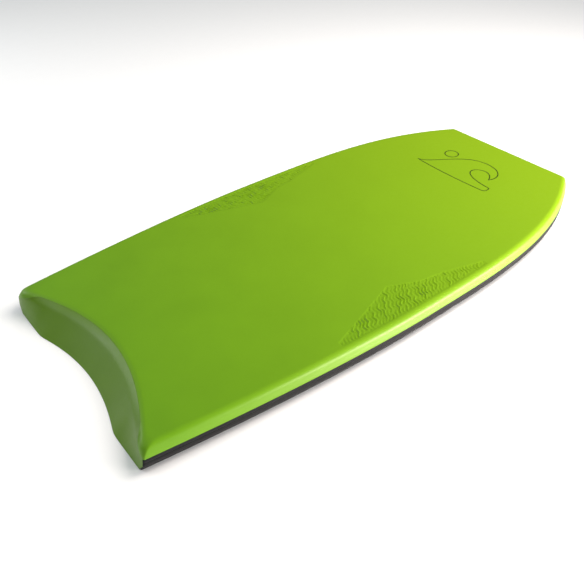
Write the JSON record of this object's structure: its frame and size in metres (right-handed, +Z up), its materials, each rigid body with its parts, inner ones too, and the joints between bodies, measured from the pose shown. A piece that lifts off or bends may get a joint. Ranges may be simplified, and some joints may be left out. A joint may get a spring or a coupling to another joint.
{
  "type": "bodyboard",
  "caption": "Crescent-tail bodyboard with a green foam deck, black double rails and a dark slick bottom over a stringer-stiffened foam core.",
  "frame": {"origin": "on the surface that the board lies on, under the middle of its length and width", "axes": "+X towards the nose, along the board's length; +Y to port, the rider's left when lying on the deck facing the nose; +Z up, out of the deck"},
  "size_m": [1.067, 0.5244, 0.0488],
  "materials": {
    "deck_foam": "lime green closed-cell foam skin, satin",
    "tail_foam": "green closed-cell foam skin, heat-sealed satin",
    "rail_foam": "black rail foam, satin",
    "inner_foam": "dark cut foam, matt",
    "slick_sheet": "black hard plastic sheet, glossy",
    "core_foam": "white bead foam, matt",
    "polymer_mesh": "light grey woven polymer mesh",
    "carbon_tube": "carbon fibre tube, semi-gloss",
    "cap_plastic": "black moulded plastic"
  },
  "bodies": {
    "root": {"core_plank": "core_foam", "deck_mesh": "polymer_mesh", "deck_skin": "deck_foam", "inner_rail_nose": "inner_foam", "inner_rail_port": "inner_foam", "inner_rail_starboard": "inner_foam", "lower_rail_nose": "rail_foam", "lower_rail_port": "rail_foam", "lower_rail_starboard": "rail_foam", "slick_mesh": "polymer_mesh", "slick_skin": "slick_sheet", "stringer_cap_nose": "cap_plastic", "stringer_cap_tail": "cap_plastic", "stringer_tube": "carbon_tube", "tail_skin": "tail_foam", "upper_rail_nose": "rail_foam", "upper_rail_port": "rail_foam", "upper_rail_starboard": "rail_foam"}
  },
  "joints": []
}
